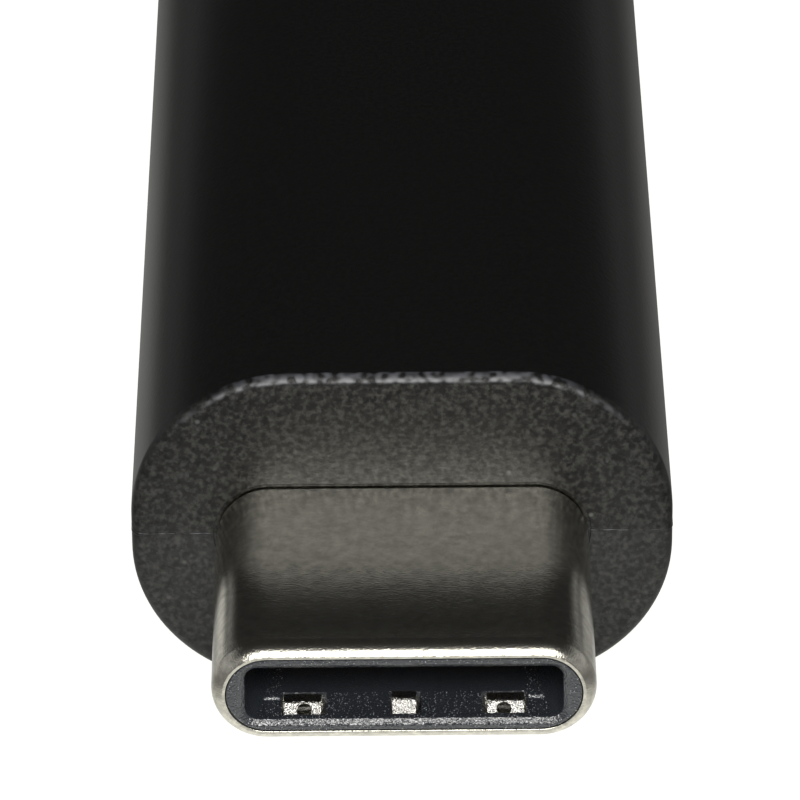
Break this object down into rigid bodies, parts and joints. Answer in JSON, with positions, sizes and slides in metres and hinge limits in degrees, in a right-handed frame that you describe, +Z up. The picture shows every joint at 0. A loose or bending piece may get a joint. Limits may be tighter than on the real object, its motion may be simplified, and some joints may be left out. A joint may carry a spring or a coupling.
{
  "type": "reversible 24-position cable plug with moulded housing",
  "caption": "Reversible cable plug with a drawn metal shell, sprung contacts inside its mouth and a black moulded housing with a round cable outlet.",
  "frame": {"origin": "under the middle of the plug's length, on the plane that the housing rests on", "axes": "+Z up, +X across the plug, +Y from the mating end towards the cable outlet"},
  "size_m": [0.012, 0.0366, 0.008],
  "materials": {
    "housing_plastic": "black with a fine spark-eroded grain",
    "inner_plastic": "natural milky moulding",
    "shell_metal": "satin nickel over stainless steel",
    "insulator_plastic": "black glass-filled moulding",
    "spring_metal": "bright rolled sheet",
    "latch_metal": "stamped sheet",
    "contact_gold": "gold-plated copper alloy",
    "card_laminate": "solder mask on laminate",
    "chip_plastic": "moulded package",
    "passive_ceramic": "fired ceramic with tinned ends",
    "can_metal": "tinned sheet",
    "ring_metal": "plated tube"
  },
  "bodies": {
    "root": {"bus_capacitor_left": "passive_ceramic", "bus_capacitor_right": "passive_ceramic", "card_pads": "contact_gold", "circuit_card": "card_laminate", "contact_carrier_lower": "insulator_plastic", "contact_carrier_upper": "insulator_plastic", "contact_lower_01": "contact_gold", "contact_lower_02": "contact_gold", "contact_lower_03": "contact_gold", "contact_lower_04": "contact_gold", "contact_lower_05": "contact_gold", "contact_lower_08": "contact_gold", "contact_lower_09": "contact_gold", "contact_lower_10": "contact_gold", "contact_lower_11": "contact_gold", "contact_lower_12": "contact_gold", "contact_upper_01": "contact_gold", "contact_upper_02": "contact_gold", "contact_upper_03": "contact_gold", "contact_upper_04": "contact_gold", "contact_upper_05": "contact_gold", "contact_upper_06": "contact_gold", "contact_upper_07": "contact_gold", "contact_upper_08": "contact_gold", "contact_upper_09": "contact_gold", "contact_upper_10": "contact_gold", "contact_upper_11": "contact_gold", "contact_upper_12": "contact_gold", "crimp_ring": "ring_metal", "earth_spring_lower": "spring_metal", "earth_spring_upper": "spring_metal", "front_insulator": "insulator_plastic", "inner_mould": "inner_plastic", "latch_plate": "latch_metal", "marker_chip": "chip_plastic", "marker_resistor": "passive_ceramic", "outer_housing": "housing_plastic", "plug_shell": "shell_metal", "shield_can_lower": "can_metal", "shield_can_upper": "can_metal", "supply_capacitor": "passive_ceramic"}
  },
  "joints": []
}
